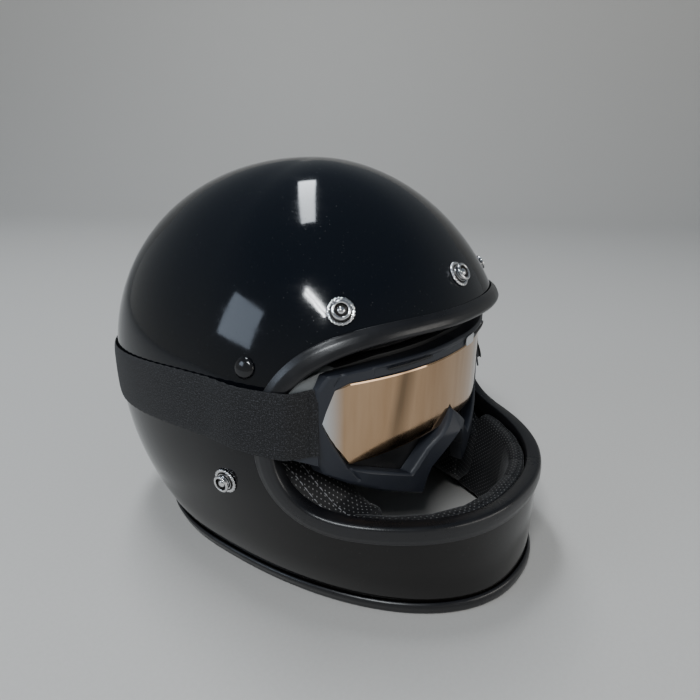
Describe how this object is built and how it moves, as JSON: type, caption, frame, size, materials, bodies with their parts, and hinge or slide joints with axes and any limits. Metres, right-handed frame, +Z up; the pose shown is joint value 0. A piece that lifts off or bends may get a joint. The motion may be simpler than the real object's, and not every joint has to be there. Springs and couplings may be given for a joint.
{
  "type": "motorcycle helmet",
  "caption": "Full-face motorcycle helmet with rubber trims, padded lining, snap studs, D-ring chin strap and strapped mirrored goggles that pull forward.",
  "frame": {"origin": "middle of the object's footprint, at the plane the base trim rests on", "axes": "+Z up, the wearer looks along -Y and the wearer's left is +X"},
  "size_m": [0.2558, 0.3397, 0.262],
  "materials": {
    "gloss_black_shell": "clear-coated gloss",
    "black_rubber": "satin",
    "grey_foam": "matt foam",
    "perforated_leather": "perforated",
    "chrome": "polished",
    "zinc_steel": "satin",
    "black_webbing": "woven",
    "matt_goggle_frame": "matt",
    "soft_goggle_frame": "satin",
    "mirror_lens": "mirror coat",
    "pale_tab": "satin"
  },
  "bodies": {
    "helmet": {"helmet_shell": "gloss_black_shell", "eyeport_trim": "black_rubber", "base_trim": "black_rubber", "impact_liner": "grey_foam", "crown_pad": "perforated_leather", "chin_liner": "grey_foam", "chin_lining": "perforated_leather", "neck_roll": "perforated_leather", "cheek_pad_left": "perforated_leather", "cheek_pad_right": "perforated_leather", "snap_flange_brow_centre": "chrome", "snap_flange_brow_left": "chrome", "snap_flange_brow_right": "chrome", "snap_flange_cheek_left": "chrome", "snap_flange_cheek_right": "chrome", "snap_stud_brow_centre": "chrome", "snap_stud_brow_left": "chrome", "snap_stud_brow_right": "chrome", "snap_stud_cheek_left": "chrome", "snap_stud_cheek_right": "chrome", "snap_dome_brow_centre": "chrome", "snap_dome_brow_left": "chrome", "snap_dome_brow_right": "chrome", "snap_dome_cheek_left": "chrome", "snap_dome_cheek_right": "chrome", "snap_back_brow_centre": "zinc_steel", "snap_back_brow_left": "zinc_steel", "snap_back_brow_right": "zinc_steel", "snap_back_cheek_left": "zinc_steel", "snap_back_cheek_right": "zinc_steel", "strap_rivet_left": "black_rubber", "strap_rivet_right": "black_rubber", "strap_hanger_left": "zinc_steel", "strap_hanger_right": "zinc_steel", "chin_strap_root_left": "black_webbing", "chin_strap_root_right": "black_webbing", "goggle_strap": "black_webbing"},
    "goggles": {"goggle_frame": "matt_goggle_frame", "goggle_inner_frame": "soft_goggle_frame", "goggle_lens": "mirror_lens", "goggle_foam": "grey_foam", "lens_tab": "pale_tab", "vent_insert_left": "soft_goggle_frame", "vent_insert_right": "soft_goggle_frame", "frame_arm_left": "matt_goggle_frame", "frame_arm_right": "matt_goggle_frame", "frame_arm_pin_left": "zinc_steel", "frame_arm_pin_right": "zinc_steel"},
    "strap_left": {"chin_strap_left": "black_webbing"},
    "strap_right": {"chin_strap_right": "black_webbing", "strap_keeper": "zinc_steel"},
    "ring_outer": {"d_ring_outer": "zinc_steel"},
    "ring_inner": {"d_ring_inner": "zinc_steel"},
    "slider": {"strap_slider": "soft_goggle_frame"}
  },
  "joints": [
    {"name": "goggle_slide", "type": "slide", "parent": "helmet", "child": "goggles", "axis": [0, -1, 0], "range_m": [0, 0.025], "stiffness_N_per_m": 300, "springref_m": -0.01, "deforming": ["goggle_strap"]},
    {"name": "strap_left_swing", "type": "hinge", "parent": "helmet", "child": "strap_left", "pos_m": [0.0604, -0.0327, 0.096], "axis": [0, 1, 0], "range_deg": [0, 35]},
    {"name": "strap_right_swing", "type": "hinge", "parent": "helmet", "child": "strap_right", "pos_m": [-0.0604, -0.0327, 0.096], "axis": [0, -1, 0], "range_deg": [0, 35]},
    {"name": "ring_outer_swing", "type": "hinge", "parent": "strap_left", "child": "ring_outer", "pos_m": [0.058, -0.0327, 0.032], "axis": [0, 1, 0], "range_deg": [-5, 80]},
    {"name": "ring_inner_swing", "type": "hinge", "parent": "strap_left", "child": "ring_inner", "pos_m": [0.0556, -0.0327, 0.032], "axis": [0, 1, 0], "range_deg": [-5, 80]},
    {"name": "slider_travel", "type": "hinge", "parent": "helmet", "child": "slider", "pos_m": [0, 0.01, 0.1052], "axis": [0, 0, 1], "range_deg": [-5, 5]}
  ]
}
